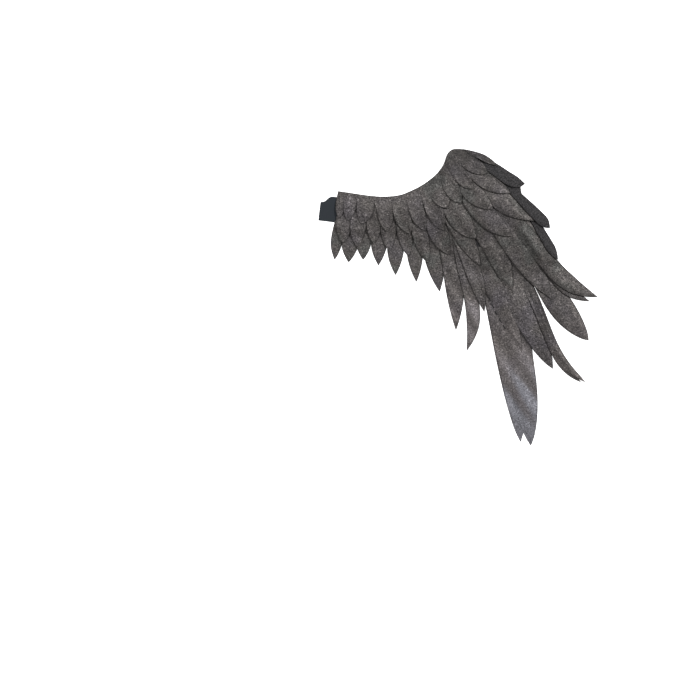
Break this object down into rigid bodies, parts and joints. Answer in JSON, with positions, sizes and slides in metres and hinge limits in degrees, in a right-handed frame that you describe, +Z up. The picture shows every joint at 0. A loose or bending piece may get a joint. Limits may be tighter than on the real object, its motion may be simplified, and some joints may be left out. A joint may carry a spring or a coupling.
{
  "type": "feather costume wing",
  "caption": "Cloth costume wing of layered leaf-shaped feathers on a domed back panel, lying flat, with a strap tab at the inner end for fastening it to the wearer.",
  "frame": {"origin": "on the surface the wing lies on, under the middle of its box", "axes": "+Z up out of the wing's face, +Y towards the top edge, +X towards the outer feathers"},
  "size_m": [0.6576, 0.698, 0.0344],
  "materials": {
    "shimmer_cloth": "shimmer",
    "dark_cloth": "matte",
    "strap_webbing": "satin"
  },
  "bodies": {
    "root": {"back_panel": "dark_cloth", "row1_feather_01": "shimmer_cloth", "row1_feather_02": "shimmer_cloth", "row1_feather_03": "shimmer_cloth", "row1_feather_04": "shimmer_cloth", "row1_feather_05": "shimmer_cloth", "row1_feather_06": "shimmer_cloth", "row1_feather_07": "shimmer_cloth", "row1_feather_08": "shimmer_cloth", "row1_feather_09": "shimmer_cloth", "row1_feather_10": "shimmer_cloth", "row1_feather_11": "shimmer_cloth", "row1_feather_12": "shimmer_cloth", "row2_feather_01": "shimmer_cloth", "row2_feather_02": "shimmer_cloth", "row2_feather_03": "shimmer_cloth", "row2_feather_04": "shimmer_cloth", "row2_feather_05": "shimmer_cloth", "row2_feather_06": "shimmer_cloth", "row2_feather_07": "shimmer_cloth", "row2_feather_08": "shimmer_cloth", "row2_feather_09": "shimmer_cloth", "row2_feather_10": "shimmer_cloth", "row2_feather_11": "shimmer_cloth", "row2_feather_12": "shimmer_cloth", "row2_feather_13": "dark_cloth", "row3_feather_01": "shimmer_cloth", "row3_feather_02": "shimmer_cloth", "row3_feather_03": "shimmer_cloth", "row3_feather_04": "shimmer_cloth", "row3_feather_05": "shimmer_cloth", "row3_feather_06": "shimmer_cloth", "row3_feather_07": "shimmer_cloth", "row3_feather_08": "shimmer_cloth", "row3_feather_09": "shimmer_cloth", "row3_feather_10": "shimmer_cloth", "row3_feather_11": "shimmer_cloth", "row3_feather_12": "shimmer_cloth", "row3_feather_13": "shimmer_cloth", "row3_feather_14": "shimmer_cloth", "row3_feather_15": "dark_cloth", "row3_feather_16": "shimmer_cloth", "row3_feather_17": "dark_cloth", "row4_feather_01": "shimmer_cloth", "row4_feather_02": "shimmer_cloth", "row4_feather_03": "shimmer_cloth", "row4_feather_04": "shimmer_cloth", "row4_feather_05": "shimmer_cloth", "row4_feather_06": "shimmer_cloth", "row4_feather_07": "shimmer_cloth", "strap_tab": "strap_webbing"}
  },
  "joints": []
}
